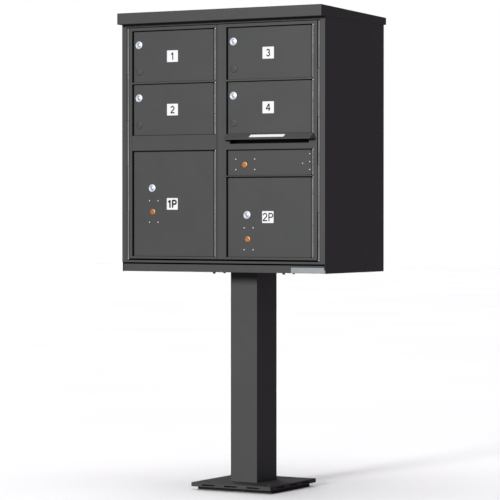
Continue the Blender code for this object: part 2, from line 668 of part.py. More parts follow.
# ---------------------------------------------------------------- compartment doors
def build_door(name, parent, holes):
    """A pan-shaped door, hung on the knuckles of its right edge; holes are (x, z, radius)."""
    column, _, _, low, high = DOORS[name]
    shift = COLUMNS[column]
    left, right = DOOR_LEFT + shift, DOOR_RIGHT + shift
    low, high = above(low), above(high)
    door = box_part(name, (left, DOOR_FACE, low), (right, DOOR_FACE + DOOR_RETURN, high))
    t = RETURN_SHEET
    hollow = boxes(((left + t, DOOR_BACK, low + t), (right - t, DOOR_FACE + REACH, high - t)))
    combine(door, "DIFFERENCE", hollow)
    hinge_x = DOOR_HINGE_X + shift
    leaf_low, leaf_high = DOOR_BACK + LEAF_STEP, DOOR_BACK + LEAF_STEP + RETURN_SHEET
    leaf = ((right - t / 2, leaf_low, low + t), (hinge_x + PIN_RADIUS, leaf_high, high - t))
    combine(door, "UNION", boxes(leaf))
    spans = door_knuckles(DOORS[name])[1::2]
    add_knuckles(door, hinge_x, spans, hinge_x - BARREL_WEB, HINGE_Y, leaf_high - LEAF_STEP)
    bore_for_pin(door, hinge_x, low - REACH, high + REACH)
    place = (hinge_x, HINGE_Y, (low + high) / 2)
    hinge = pivot(f"{name}_pivot", place, parent)
    hang(door, hinge)
    for x, z, radius in holes:
        sides = SMALL_ROUND if radius == RIVET_HOLE_RADIUS else ROUND
        combine(door, "DIFFERENCE", rods("Y", radius, DOOR_FACE - REACH, DOOR_FACE + REACH, [(x, z)], sides))
    return hinge


def cam_bar(x, z, front, length):
    """A flat cam that points up from a lock's axis."""
    half = CAM_WIDTH / 2
    return boxes(((x - half, front, z - half), (x + half, front + CAM_THICK - CAM_BACKSET, z + length)))


def build_lock(name, x, z, cam_length, parent):
    """A key lock: a bezel and barrel fixed in the door, and a plug that carries the cam."""
    mesh = rods("Y", BEZEL_RADIUS, DOOR_FACE - BEZEL_PROUD, DOOR_FACE - GAP, [(x, z)])
    housing = part(name, mesh, LOCK_CHROME)
    barrel_start, barrel_end = DOOR_FACE - BEZEL_PROUD / 2, DOOR_FACE + LOCK_BARREL_DEPTH
    combine(housing, "UNION", rods("Y", LOCK_BARREL_RADIUS, barrel_start, barrel_end, [(x, z)]))
    nut = rods("Y", NUT_RADIUS, DOOR_BACK + GAP, DOOR_BACK + GAP + NUT_THICK, [(x, z)], 6)
    combine(housing, "UNION", nut)
    combine(housing, "DIFFERENCE", rods("Y", ROTOR_BORE, FRONT - REACH, FRONT + REACH, [(x, z)]))
    hang(housing, parent)
    turn = pivot(f"{name}_pivot", (x, DOOR_FACE, z), parent)
    front = DOOR_FACE - ROTOR_PROUD
    rotor = part(f"{name}_plug", rods("Y", ROTOR_RADIUS, front, CAM_Y + CAM_THICK, [(x, z)]), LOCK_CHROME)
    combine(rotor, "UNION", cam_bar(x, z, CAM_Y, cam_length))
    width, height, depth = KEYWAY
    keyway_low = (x - width / 2, front - REACH, z - KEYWAY_DROP)
    keyway_high = (x + width / 2, front + depth, z - KEYWAY_DROP + height)
    combine(rotor, "DIFFERENCE", boxes((keyway_low, keyway_high)))
    hang(rotor, turn)


def stud_places(x, z, spacing):
    return [(x + sx * spacing[0] / 2, z + sz * spacing[1] / 2) for sx in (-1, 1) for sz in (-1, 1)]


def build_carrier_lock(name, x, z, middle, spacing, parent):
    """A brass plug in a bracket, which four studs through the door hold; middle is their pattern's."""
    half_x, half_z = spacing[0] / 2 + BRACKET_MARGIN, spacing[1] / 2 + BRACKET_MARGIN
    front, back = DOOR_BACK + GAP, DOOR_BACK + GAP + BRACKET_THICK
    low = (middle[0] - half_x, front, middle[1] - half_z)
    high = (middle[0] + half_x, back, middle[1] + half_z)
    bracket = box_part(f"{name}_bracket", low, high, ZINC)
    studs = stud_places(*middle, spacing)
    head_back = DOOR_FACE - GAP
    shank_front, shank_back = head_back - STUD_HEAD_HEIGHT / 3, front + BRACKET_THICK / 2
    combine(bracket, "UNION", rods("Y", RIVET_RADIUS, shank_front, shank_back, studs, SMALL_ROUND))
    head_front = head_back - STUD_HEAD_HEIGHT
    combine(bracket, "UNION", rods("Y", STUD_HEAD_RADIUS, head_front, head_back, studs, SMALL_ROUND))
    combine(bracket, "DIFFERENCE", rods("Y", CARRIER_SHAFT_RADIUS + GAP, FRONT, FRONT + REACH, [(x, z)]))
    hang(bracket, parent)
    turn = pivot(f"{name}_pivot", (x, DOOR_FACE, z), parent)
    head_front, cam_end = DOOR_FACE - CARRIER_HEAD_PROUD, CARRIER_CAM_Y + CAM_THICK
    plug = part(f"{name}_plug", rods("Y", CARRIER_HEAD_RADIUS, head_front, DOOR_BACK, [(x, z)]), LOCK_BRASS)
    combine(plug, "UNION", rods("Y", CARRIER_SHAFT_RADIUS, DOOR_BACK - GAP, cam_end, [(x, z)]))
    combine(plug, "UNION", cam_bar(x, z, CARRIER_CAM_Y, CARRIER_CAM))
    length, height, depth = CARRIER_SLIT
    slit_low = (x - length / 2, head_front - REACH, z - height / 2)
    slit_high = (x + length / 2, head_front + depth, z + height / 2)
    combine(plug, "DIFFERENCE", boxes((slit_low, slit_high)))
    hang(plug, turn)


def build_hole_plug(name, x, z, parent):
    """A snap-in plug that covers a spare hole: a low dome with a shank."""
    mesh = bmesh.new()
    face = DOOR_FACE - GAP
    middle = (x, face - HOLE_PLUG_HEIGHT / 2, z)
    place = Matrix.Translation(middle) @ Matrix.Rotation(math.pi / 2, 4, "X")
    bmesh.ops.create_cone(
        mesh,
        cap_ends=True,
        segments=ROUND,
        radius1=HOLE_PLUG_RADIUS,
        radius2=HOLE_PLUG_CROWN,
        depth=HOLE_PLUG_HEIGHT,
        matrix=place,
    )
    plug = part(name, mesh, POWDER_COAT)
    shank = rods("Y", HOLE_PLUG_SHANK, face - GAP, DOOR_BACK + HOLE_PLUG_REACH, [(x, z)])
    combine(plug, "UNION", shank)
    hang(plug, parent)


def build_tenant_door(number, parent):
    name = f"tenant_door_{number}"
    column, top = DOORS[name][0], above(DOORS[name][4])
    x = DOOR_LEFT + COLUMNS[column] + TENANT_LOCK_INSET
    lock_z, plug_z = top - TENANT_LOCK_DROP, top - PLUG_DROP
    holes = [
        (x, lock_z, LOCK_BARREL_RADIUS + HOLE_CLEARANCE),
        (x, plug_z, HOLE_PLUG_SHANK + HOLE_CLEARANCE),
    ]
    hinge = build_door(name, parent, holes)
    build_lock(f"tenant_lock_{number}", x, lock_z, TENANT_CAM, hinge)
    build_hole_plug(f"hole_plug_{number}", x, plug_z, hinge)


def build_parcel_door(number, parent):
    name = f"parcel_door_{number}"
    column, top = DOORS[name][0], above(DOORS[name][4])
    x = DOOR_LEFT + COLUMNS[column] + PARCEL_LOCK_INSET
    lock_z, carrier_z = top - PARCEL_LOCK_DROP, top - CARRIER_LOCK_DROP
    middle = (DOOR_LEFT + COLUMNS[column] + PARCEL_PLATE_INSET, top - PARCEL_PLATE_DROP)
    holes = [
        (x, lock_z, LOCK_BARREL_RADIUS + HOLE_CLEARANCE),
        (x, carrier_z, CARRIER_HEAD_RADIUS + HOLE_CLEARANCE),
    ]
    holes += [(*place, RIVET_HOLE_RADIUS) for place in stud_places(*middle, PARCEL_STUDS)]
    hinge = build_door(name, parent, holes)
    build_lock(f"parcel_lock_{number}", x, lock_z, PARCEL_CAM, hinge)
    build_carrier_lock(f"carrier_lock_{number}", x, carrier_z, middle, PARCEL_STUDS, hinge)


def build_outgoing_door(parent):
    x, z = ARROW_LOCK[0], above(ARROW_LOCK[1])
    middle = (ARROW_PLATE[0], above(ARROW_PLATE[1]))
    holes = [(x, z, CARRIER_HEAD_RADIUS + HOLE_CLEARANCE)]
    holes += [(*place, RIVET_HOLE_RADIUS) for place in stud_places(*middle, ARROW_STUDS)]
    hinge = build_door("outgoing_door", parent, holes)
    build_carrier_lock("outgoing_lock", x, z, middle, ARROW_STUDS, hinge)


def main():
    build_pad()
    build_base()
    build_post()
    build_panels()
    build_hood()
    build_face_frame()
    build_bottom_rail()
    build_inside()
    middle = above((MASTER_BOTTOM + MASTER_TOP) / 2)
    left_hinge = pivot("left_master_pivot", (-MASTER_HINGE_X, HINGE_Y, middle))
    right_hinge = pivot("right_master_pivot", (MASTER_HINGE_X, HINGE_Y, middle))
    build_left_master(left_hinge)
    build_right_master(right_hinge)
    for number, hinge in ((1, left_hinge), (2, left_hinge), (3, right_hinge), (4, right_hinge)):
        build_tenant_door(number, hinge)
    build_parcel_door(1, left_hinge)
    build_parcel_door(2, right_hinge)
    build_outgoing_door(right_hinge)


main()
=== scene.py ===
import json
import math

import bmesh
import bpy
from mathutils import Matrix, Vector

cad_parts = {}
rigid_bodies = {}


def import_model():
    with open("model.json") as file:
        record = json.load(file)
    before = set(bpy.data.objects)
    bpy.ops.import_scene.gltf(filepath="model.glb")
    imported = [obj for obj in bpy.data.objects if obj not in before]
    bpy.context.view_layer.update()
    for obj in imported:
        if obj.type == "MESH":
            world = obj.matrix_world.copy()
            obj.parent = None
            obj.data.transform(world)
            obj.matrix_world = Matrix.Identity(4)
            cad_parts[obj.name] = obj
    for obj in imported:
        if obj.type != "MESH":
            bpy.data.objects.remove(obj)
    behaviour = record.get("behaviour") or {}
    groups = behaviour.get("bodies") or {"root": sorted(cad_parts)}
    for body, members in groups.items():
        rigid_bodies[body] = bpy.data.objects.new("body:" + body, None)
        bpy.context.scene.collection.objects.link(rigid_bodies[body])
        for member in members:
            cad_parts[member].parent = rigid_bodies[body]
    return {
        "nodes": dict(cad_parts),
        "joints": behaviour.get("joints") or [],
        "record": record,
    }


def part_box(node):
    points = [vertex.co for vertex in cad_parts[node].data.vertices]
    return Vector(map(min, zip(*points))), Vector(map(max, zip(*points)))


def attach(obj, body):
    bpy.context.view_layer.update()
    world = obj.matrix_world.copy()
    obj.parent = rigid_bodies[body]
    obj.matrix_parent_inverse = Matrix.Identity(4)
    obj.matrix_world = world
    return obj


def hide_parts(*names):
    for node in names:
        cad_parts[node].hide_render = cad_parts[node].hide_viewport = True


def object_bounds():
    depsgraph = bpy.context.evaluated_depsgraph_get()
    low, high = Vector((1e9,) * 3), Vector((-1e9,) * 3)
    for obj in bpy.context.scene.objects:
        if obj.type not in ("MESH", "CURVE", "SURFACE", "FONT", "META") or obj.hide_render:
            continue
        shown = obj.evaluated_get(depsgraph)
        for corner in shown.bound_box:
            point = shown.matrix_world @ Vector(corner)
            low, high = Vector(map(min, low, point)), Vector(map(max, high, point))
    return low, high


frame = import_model()
cad_low, cad_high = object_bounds()

MM = 0.001
NODES = frame["nodes"]
BODIES = frame["record"]["behaviour"]["bodies"]
BODY_OF = {node: body for body, nodes in BODIES.items() for node in nodes}

# shading and merging limits, and how many steps make a turn, a fold and a plate's corner
SMOOTH_ANGLE = math.radians(42)
CUT_SMOOTH_ANGLE = math.radians(30)
BEVEL_ANGLE = math.radians(48)
FLAT_ANGLE = math.radians(0.5)
MERGE_DISTANCE = 0.01 * MM
TURNED_MERGE_DISTANCE = 0.005 * MM
ON_FACE = 0.1 * MM
TURN_STEPS = 64
FOLD_STEPS = 5
CORNER_STEPS = 5

# edge rounding of each kind of piece, in metres
SHEET_EDGE = 0.5 * MM
DOOR_EDGE = 0.7 * MM
PAD_EDGE = 1.5 * MM
SMALL_EDGE = 0.3 * MM
LABEL_EDGE = 0.1 * MM
HOOD_FOLD = 2.4 * MM
POST_FOLD = 2.6 * MM

# the panels whose ends reach out to the sheets beside them, and how far
SEAM_GAP = 0.4 * MM
WELDED = ("back_panel", "top_panel", "bottom_panel")

# the photographer's camera, in the part's own frame
CAMERA_PLACE = (4.1722, -7.2362, 0.9246)
CAMERA_YAW = 0.52386
CAMERA_PITCH = -0.01323
CAMERA_LENS = 179.97
CAMERA_SHIFT = (0.00082, -0.01002)
CAMERA_SENSOR = 36.0
CAMERA_REACH = 100.0

# each sun: its strength, its width in degrees, the way its light goes
KEY_SUN = (2.9, 12, (0.10, 1.0, -0.24))
BACK_SUN = (1.2, 40, (1.0, -0.75, -0.45))
FLOOR_SUN = (2.2, 60, (0.05, 0.1, -1.0))
SLOPE_SUN = (1.0, 30, (0.2, 1.0, -1.3))
FILL_STRENGTH = 0.20
FILL_COLOR = (0.97, 0.88, 1.03, 1.0)
PAPER_COLOR = (1.0, 1.0, 1.0, 1.0)
FLOOR_HALF = 30.0

# the dust on faces that look up, and how much rougher they are
DUST_COLOR = (0.20, 0.19, 0.17)
DUST_ROUGHNESS = 0.35
# how a brushed grain is squeezed on each axis, so that it runs along Z or along X
UPRIGHT_GRAIN = (500.0, 500.0, 12.0)
LEVEL_GRAIN = (30.0, 900.0, 1500.0)


# ---------------------------------------------------------------- shader nodes
class Shader:
    """A Principled material, and short calls to wire its nodes."""

    def __init__(self, name, **values):
        self.material = bpy.data.materials.new(name)
        self.material.use_nodes = True
        self.tree = self.material.node_tree
        self.principled = self.tree.nodes["Principled BSDF"]
        self.coordinates = self.tree.nodes.new("ShaderNodeTexCoord").outputs["Object"]
        for key, value in values.items():
            self.principled.inputs[key.replace("_", " ")].default_value = value

    def node(self, kind, **settings):
        made = self.tree.nodes.new(kind)
        for key, value in settings.items():
            setattr(made, key, value)
        return made

    def link(self, source, target):
        self.tree.links.new(source, target)

    def scaled(self, scale):
        """The object's coordinates, stretched."""
        mapping = self.node("ShaderNodeMapping")
        mapping.inputs["Scale"].default_value = scale
        self.link(self.coordinates, mapping.inputs["Vector"])
        return mapping.outputs["Vector"]

    def noise(self, scale, detail=2.0, rough=0.5, vector=None):
        made = self.node("ShaderNodeTexNoise")
        made.inputs["Scale"].default_value = scale
        made.inputs["Detail"].default_value = detail
        made.inputs["Roughness"].default_value = rough
        self.link(vector or self.coordinates, made.inputs["Vector"])
        return made.outputs["Fac"]

    def math(self, operation, first, second, clamp=False):
        """A math node on a socket and on a second socket or a number."""
        made = self.node("ShaderNodeMath", operation=operation, use_clamp=clamp)
        self.link(first, made.inputs[0])
        if isinstance(second, float):
            made.inputs[1].default_value = second
        else:
            self.link(second, made.inputs[1])
        return made.outputs[0]

    def span(self, source, low, high, to_low=0.0, to_high=1.0):
        """The source's range from low to high, stretched onto another, from 0 to 1 if none is given."""
        made = self.node("ShaderNodeMapRange")
        sockets = ("From Min", "From Max", "To Min", "To Max")
        for name, value in zip(sockets, (low, high, to_low, to_high)):
            made.inputs[name].default_value = value
        self.link(source, made.inputs["Value"])
        return made.outputs["Result"]

    def blend(self, factor, first, second):
        made = self.node("ShaderNodeMix", data_type="RGBA")
        self.link(factor, made.inputs["Factor"])
        for socket, value in ((made.inputs[6], first), (made.inputs[7], second)):
            if isinstance(value, tuple):
                socket.default_value = (*value, 1.0)
            else:
                self.link(value, socket)
        return made.outputs[2]

    def bump(self, height, strength, distance, below=None):
        made = self.node("ShaderNodeBump")
        made.inputs["Strength"].default_value = strength
        made.inputs["Distance"].default_value = distance
        self.link(height, made.inputs["Height"])
        if below:
            self.link(below, made.inputs["Normal"])
        return made.outputs["Normal"]

    def finish(self, color=None, roughness=None, normal=None):
        for name, source in (("Base Color", color), ("Roughness", roughness), ("Normal", normal)):
            if source:
                self.link(source, self.principled.inputs[name])
        return self.material


def powder_coat(name, dark, light, dust=0.08, specular=0.34):
    """Satin powder coat: orange peel, a fine fleck and slow colour drift, dusty and dull on top."""
    s = Shader(name, Specular_IOR_Level=specular)
    drift = s.span(s.noise(5.0, 4.0, 0.6), 0.3, 0.7)
    fleck = s.span(s.noise(1800.0, 2.0, 0.5), 0.35, 0.68)
    body = s.blend(drift, dark, light)
    speck = s.blend(s.math("MULTIPLY", fleck, 0.16), body, tuple(1.5 * c for c in light))
    normal = s.node("ShaderNodeNewGeometry").outputs["Normal"]
    split = s.node("ShaderNodeSeparateXYZ")
    s.link(normal, split.inputs[0])
    up = s.span(split.outputs["Z"], 0.6, 1.0)
    patches = s.span(s.noise(14.0, 6.0, 0.7), 0.35, 0.7, 0.15 * dust, dust)
    color = s.blend(s.math("MULTIPLY", up, patches), speck, DUST_COLOR)
    satin = s.span(s.noise(24.0, 5.0, 0.6), 0.3, 0.7, 0.40, 0.45)
    rough = s.math("ADD", satin, s.math("MULTIPLY", up, DUST_ROUGHNESS))
    peel = s.bump(s.noise(650.0, 2.0, 0.45), 0.12, 0.20 * MM)
    fine = s.bump(s.noise(2600.0, 1.0, 0.5), 0.10, 0.06 * MM, peel)
    return s.finish(color, rough, fine)


def turned_metal(name, dark, light, roughness):
    """Plated or plain metal with a lathe's rings about its own Y axis, and fine scratches."""
    s = Shader(name, Metallic=1.0)
    split = s.node("ShaderNodeSeparateXYZ")
    s.link(s.coordinates, split.inputs[0])
    flat = s.node("ShaderNodeCombineXYZ")
    s.link(split.outputs["X"], flat.inputs["X"])
    s.link(split.outputs["Z"], flat.inputs["Z"])
    radius = s.node("ShaderNodeVectorMath", operation="LENGTH")
    s.link(flat.outputs[0], radius.inputs[0])
    ring = s.node("ShaderNodeTexNoise", noise_dimensions="1D")
    ring.inputs["Scale"].default_value = 5200.0
    ring.inputs["Detail"].default_value = 3.0
    s.link(radius.outputs["Value"], ring.inputs["W"])
    rings = s.bump(ring.outputs["Fac"], 0.06, 0.05 * MM)
    scratch = s.noise(1.0, 3.0, 0.6, s.scaled((900.0, 900.0, 7000.0)))
    scratches = s.bump(scratch, 0.03, 0.04 * MM, rings)
    color = s.blend(s.span(s.noise(160.0, 4.0, 0.6), 0.3, 0.7), dark, light)
    rough = s.span(s.noise(300.0, 4.0, 0.65), 0.3, 0.7, roughness * 0.92, roughness * 1.12)
    return s.finish(color, rough, scratches)


def brushed_metal(name, dark, light, roughness, squeeze):
    """Sheet metal with a grain along one axis."""
    s = Shader(name, Metallic=1.0)
    grain = s.noise(1.0, 4.0, 0.6, s.scaled(squeeze))
    color = s.blend(s.span(grain, 0.3, 0.7), dark, light)
    cloud = s.span(s.noise(40.0, 5.0, 0.65), 0.3, 0.7, -0.06, 0.08)
    rough = s.math("ADD", s.span(grain, 0.3, 0.7, roughness * 0.8, roughness * 1.25), cloud, True)
    return s.finish(color, rough, s.bump(grain, 0.03, 0.05 * MM))


def vinyl(name, dark, light):
    """Printed vinyl: a faint pebble, and a slow drift of shade."""
    s = Shader(name, Specular_IOR_Level=0.45)
    color = s.blend(s.span(s.noise(60.0, 5.0, 0.6), 0.3, 0.7), dark, light)
    rough = s.span(s.noise(220.0, 3.0, 0.5), 0.3, 0.7, 0.30, 0.46)
    return s.finish(color, rough, s.bump(s.noise(1400.0, 2.0, 0.5), 0.12, 0.05 * MM))


def moulded_rubber(name, dark, light):
    """Dull rubber with a fine grit."""
    s = Shader(name, Specular_IOR_Level=0.3)
    color = s.blend(s.span(s.noise(45.0, 6.0, 0.7), 0.35, 0.75), dark, light)
    rough = s.span(s.noise(90.0, 4.0, 0.6), 0.3, 0.7, 0.72, 0.92)
    grit = s.bump(s.noise(900.0, 4.0, 0.7), 0.45, 0.2 * MM)
    return s.finish(color, rough, grit)


COAT = powder_coat("dark_bronze_coat", (0.050, 0.052, 0.050), (0.056, 0.058, 0.056))
BASE_COAT = powder_coat(
    "worn_base_coat", (0.062, 0.061, 0.058), (0.070, 0.069, 0.065), dust=0.02, specular=0.06
)
CHROME = turned_metal("lock_chrome", (0.47, 0.505, 0.55), (0.53, 0.565, 0.61), 0.47)
BRASS = turned_metal("lock_brass", (0.34, 0.155, 0.060), (0.41, 0.200, 0.085), 0.44)
STUD_STEEL = turned_metal("stud_steel", (0.30, 0.30, 0.29), (0.40, 0.40, 0.39), 0.46)
PIN_STEEL = turned_metal("pin_steel", (0.84, 0.84, 0.85), (0.90, 0.90, 0.91), 0.48)
HINGE_STEEL = brushed_metal("hinge_steel", (0.24, 0.24, 0.24), (0.29, 0.29, 0.29), 0.60, UPRIGHT_GRAIN)
SILVER = brushed_metal("plate_silver", (0.25, 0.265, 0.27), (0.30, 0.315, 0.32), 0.50, LEVEL_GRAIN)
WHITE_VINYL = vinyl("white_vinyl", (0.86, 0.87, 0.88), (0.93, 0.93, 0.93))
DARK_INK = vinyl("dark_ink", (0.010, 0.010, 0.011), (0.018, 0.018, 0.020))
RUBBER = moulded_rubber("pad_rubber", (0.009, 0.009, 0.009), (0.022, 0.021, 0.019))
# a near-black sheet set a little way into each keyway: painted shade where the bore falls dark
KEYWAY_PAINTED_SHADE = vinyl("painted_keyway_shade", (0.05, 0.05, 0.05), (0.09, 0.09, 0.09))


# ---------------------------------------------------------------- making pieces
def new_piece(name, mesh, material, body, place=(0, 0, 0)):
    """An object from a bmesh, with a finish, that rides on a CAD body."""
    data = bpy.data.meshes.new(name)
    bmesh.ops.recalc_face_normals(mesh, faces=mesh.faces)
    mesh.to_mesh(data)
    mesh.free()
    data.materials.append(material)
    data.shade_smooth()
    data.set_sharp_from_angle(angle=SMOOTH_ANGLE)
    piece = bpy.data.objects.new(name, data)
    piece.location = place
    bpy.context.scene.collection.objects.link(piece)
    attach(piece, body)
    return piece


def round_edges(piece, width):
    """A narrow bevel on every sharp edge, with flat shading kept on the faces beside it."""
    bevel = piece.modifiers.new("edges", "BEVEL")
    bevel.width = width
    bevel.segments = 2
    bevel.limit_method = "ANGLE"
    bevel.angle_limit = BEVEL_ANGLE
    flat = piece.modifiers.new("flat_faces", "WEIGHTED_NORMAL")
    flat.weight = 100
    flat.keep_sharp = True


def round_folds(mesh, radius, is_fold):
    """Rounds the edges of a folded or rolled piece for which is_fold(one end, other end) holds."""
    corners = [edge for edge in mesh.edges if edge.calc_face_angle(0) > BEVEL_ANGLE]
    folds = [edge for edge in corners if is_fold(*edge.verts)]
    bmesh.ops.bevel(mesh, geom=folds, offset=radius, segments=FOLD_STEPS, profile=0.5, affect="EDGES")


def close_seams(mesh):
    """Moves a panel's two ends out to the sheets beside it, so that no light shows between them."""
    ends = [v.co.x for v in mesh.verts]
    left, right = min(ends), max(ends)
    for corner in mesh.verts:
        if corner.co.x < left + SEAM_GAP / 2:
            corner.co.x -= SEAM_GAP
        elif corner.co.x > right - SEAM_GAP / 2:
            corner.co.x += SEAM_GAP


def refine(node, width, material, fold_radius=0, is_fold=None):
    """Stands a finished copy in for a CAD node: welded, its flat faces joined, its edges rounded."""
    mesh = bmesh.new()
    mesh.from_mesh(NODES[node].data)
    bmesh.ops.remove_doubles(mesh, verts=mesh.verts, dist=MERGE_DISTANCE)
    bmesh.ops.dissolve_limit(
        mesh,
        angle_limit=FLAT_ANGLE,
        use_dissolve_boundaries=False,
        verts=mesh.verts,
        edges=mesh.edges,
    )
    if is_fold:
        round_folds(mesh, fold_radius, is_fold)
    if node in WELDED:
        close_seams(mesh)
    piece = new_piece(f"{node}_finish", mesh, material, BODY_OF[node])
    round_edges(piece, width)
    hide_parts(node)


def turned(name, profile, material, body, place, closed_ring=False):
    """A piece turned about Y: profile is (radius, depth) from the front, place its centre at depth 0."""
    mesh = bmesh.new()
    points = [mesh.verts.new((radius, depth, 0)) for radius, depth in profile]
    edges = [mesh.edges.new(pair) for pair in zip(points, points[1:])]
    if closed_ring:
        edges.append(mesh.edges.new((points[-1], points[0])))
    bmesh.ops.spin(
        mesh, geom=points + edges, cent=(0, 0, 0), axis=(0, 1, 0), angle=2 * math.pi, steps=TURN_STEPS
    )
    bmesh.ops.remove_doubles(mesh, verts=mesh.verts, dist=TURNED_MERGE_DISTANCE)
    return new_piece(name, mesh, material, body, place)


def plate_outline(width, height, corner):
    """The points of a rounded rectangle about the origin, in X and Z."""
    points = []
    for turn, (sx, sz) in enumerate(((1, 1), (-1, 1), (-1, -1), (1, -1))):
        x, z = sx * (width / 2 - corner), sz * (height / 2 - corner)
        for k in range(CORNER_STEPS + 1):
            angle = math.radians(90 * turn + 90 * k / CORNER_STEPS)
            points.append((x + corner * math.cos(angle), z + corner * math.sin(angle)))
    return points


def hexagon(radius):
    """The points of a hexagon about the origin, with one on the X axis."""
    angles = [math.radians(60 * k) for k in range(6)]
    return [(radius * math.cos(angle), radius * math.sin(angle)) for angle in angles]


def extruded(outline, thick):
    """A bmesh of an outline in X and Z, thick along Y from 0."""
    mesh = bmesh.new()
    face = mesh.faces.new([mesh.verts.new((x, 0, z)) for x, z in outline])
    grown = bmesh.ops.extrude_face_region(mesh, geom=[face])
    moved = [v for v in grown["geom"] if isinstance(v, bmesh.types.BMVert)]
    bmesh.ops.translate(mesh, vec=(0, thick, 0), verts=moved)
    return mesh


def cylinder_mesh(radius, start, end):
    """A bmesh of a cylinder about Y, from start to end along it."""
    mesh = bmesh.new()
    place = Matrix.Translation((0, (start + end) / 2, 0)) @ Matrix.Rotation(math.pi / 2, 4, "X")
    bmesh.ops.create_cone(
        mesh,
        cap_ends=True,
        segments=TURN_STEPS,
        radius1=radius,
        radius2=radius,
        depth=end - start,
        matrix=place,
    )
    return mesh


def cut_with(piece, mesh):
    """Cuts a bmesh, given in the piece's own coordinates, out of the piece, and leaves no modifier."""
    data = bpy.data.meshes.new("cutter")
    bmesh.ops.recalc_face_normals(mesh, faces=mesh.faces)
    mesh.to_mesh(data)
    mesh.free()
    cutter = bpy.data.objects.new("cutter", data)
    bpy.context.scene.collection.objects.link(cutter)
    bpy.context.view_layer.update()
    cutter.matrix_world = piece.matrix_world
    cut = piece.modifiers.new("cut", "BOOLEAN")
    cut.object = cutter
    bpy.context.view_layer.update()
    graph = bpy.context.evaluated_depsgraph_get()
    result = bpy.data.meshes.new_from_object(piece.evaluated_get(graph))
    piece.modifiers.remove(cut)
    piece.data = result
    result.set_sharp_from_angle(angle=CUT_SMOOTH_ANGLE)
    bpy.data.objects.remove(cutter)


# ---------------------------------------------------------------- sheet metal, pad and plate
def on_hood_shell(*ends):
    """Whether an edge is one of the hood's outer corners or runs round its top."""
    low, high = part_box("hood")
    inset = [min(v.co.x - low.x, high.x - v.co.x, v.co.y - low.y, high.y - v.co.y) for v in ends]
    return max(inset) < ON_FACE


def on_post_shell(*ends):
    """Whether an edge is one of the post's four outer corners."""
    low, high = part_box("pedestal_post")
    middle = (low + high) / 2
    half = (high - low) / 2
    off_sides = [abs(abs(v.co.x - middle.x) - half.x) for v in ends]
    off_front_and_back = [abs(abs(v.co.y - middle.y) - half.y) for v in ends]
    at_corner = max(off_sides + off_front_and_back) < ON_FACE
    return at_corner and abs(ends[0].co.z - ends[1].co.z) > half.z


SHEETS = (
    "pedestal_top_plate side_panel_left side_panel_right back_panel top_panel bottom_panel face_frame "
    "bottom_rail centre_divider shelf_1 shelf_2 shelf_3 shelf_4 shelf_5 left_master_frame "
    "right_master_frame filler_panel slot_hood mail_baffle"
)


def dress_shell():
    """Stands a finished copy in for every sheet, door, pad and plate."""
    refine("hood", SHEET_EDGE, COAT, HOOD_FOLD, on_hood_shell)
    refine("base_plate", DOOR_EDGE, BASE_COAT)
    refine("pedestal_post", SHEET_EDGE, COAT, POST_FOLD, on_post_shell)
    refine("mounting_pad", PAD_EDGE, RUBBER)
    refine("certificate_plate", SMALL_EDGE, SILVER)
    for node in SHEETS.split():
        refine(node, SHEET_EDGE, COAT)
    for node in sorted(NODES):
        if node.endswith("_door") or "_door_" in node:
            refine(node, DOOR_EDGE, COAT)


# ---------------------------------------------------------------- hinges
BARREL_RADIUS = 3.42 * MM
BARREL_BORE = 1.85 * MM
BARREL_GAP = 0.25 * MM
KNUCKLES = 5
HINGE_EASE = 0.4 * MM
PIN_RADIUS = 1.5 * MM
PIN_HEAD_RADIUS = 4.3 * MM
PIN_HEAD_HEIGHT = 3.7 * MM
# the dome of a pin's head: a share of the head's radius, and the height in metres
PIN_HEAD_DOME = ((0.62, 0.25 * MM), (0.90, 0.95 * MM), (1.0, 1.8 * MM))


def stand_up(piece, foot):
    """Turns a piece made about Y to stand about Z on its foot."""
    piece.data.transform(Matrix.Translation(foot) @ Matrix.Rotation(math.pi / 2, 4, "X"))


def hinge_sleeve(name, centre, low, high, body):
    """A rolled barrel with eased ends."""
    length = high - low
    profile = [
        (BARREL_BORE, 0),
        (BARREL_RADIUS - HINGE_EASE, 0),
        (BARREL_RADIUS, HINGE_EASE),
        (BARREL_RADIUS, length - HINGE_EASE),
        (BARREL_RADIUS - HINGE_EASE, length),
        (BARREL_BORE, length),
    ]
    piece = turned(name, profile, HINGE_STEEL, body, (0, 0, 0), closed_ring=True)
    stand_up(piece, (centre[0], centre[1], low))


def knuckle_spans(low, high):
    """The foot and the top of each barrel along a hinge, with a gap between neighbours."""
    ends = [low + k * (high - low) / KNUCKLES for k in range(KNUCKLES + 1)]
    return [(foot + BARREL_GAP, top - BARREL_GAP) for foot, top in zip(ends, ends[1:])]


def joint_place(name):
    """A point on a joint's axis."""
    return next(Vector(j["pos_m"]) for j in frame["joints"] if j["name"] == name)


def dress_hinge(joint, bottom, top, fixed_body, moving_body):
    """Sleeves over a hinge's knuckles, which belong in turn to the fixed and the moving side."""
    axis = joint_place(joint)
    for index, (low, high) in enumerate(knuckle_spans(bottom, top)):
        body = fixed_body if index % 2 == 0 else moving_body
        hinge_sleeve(f"{joint}_barrel_{index + 1}", axis, low, high, body)


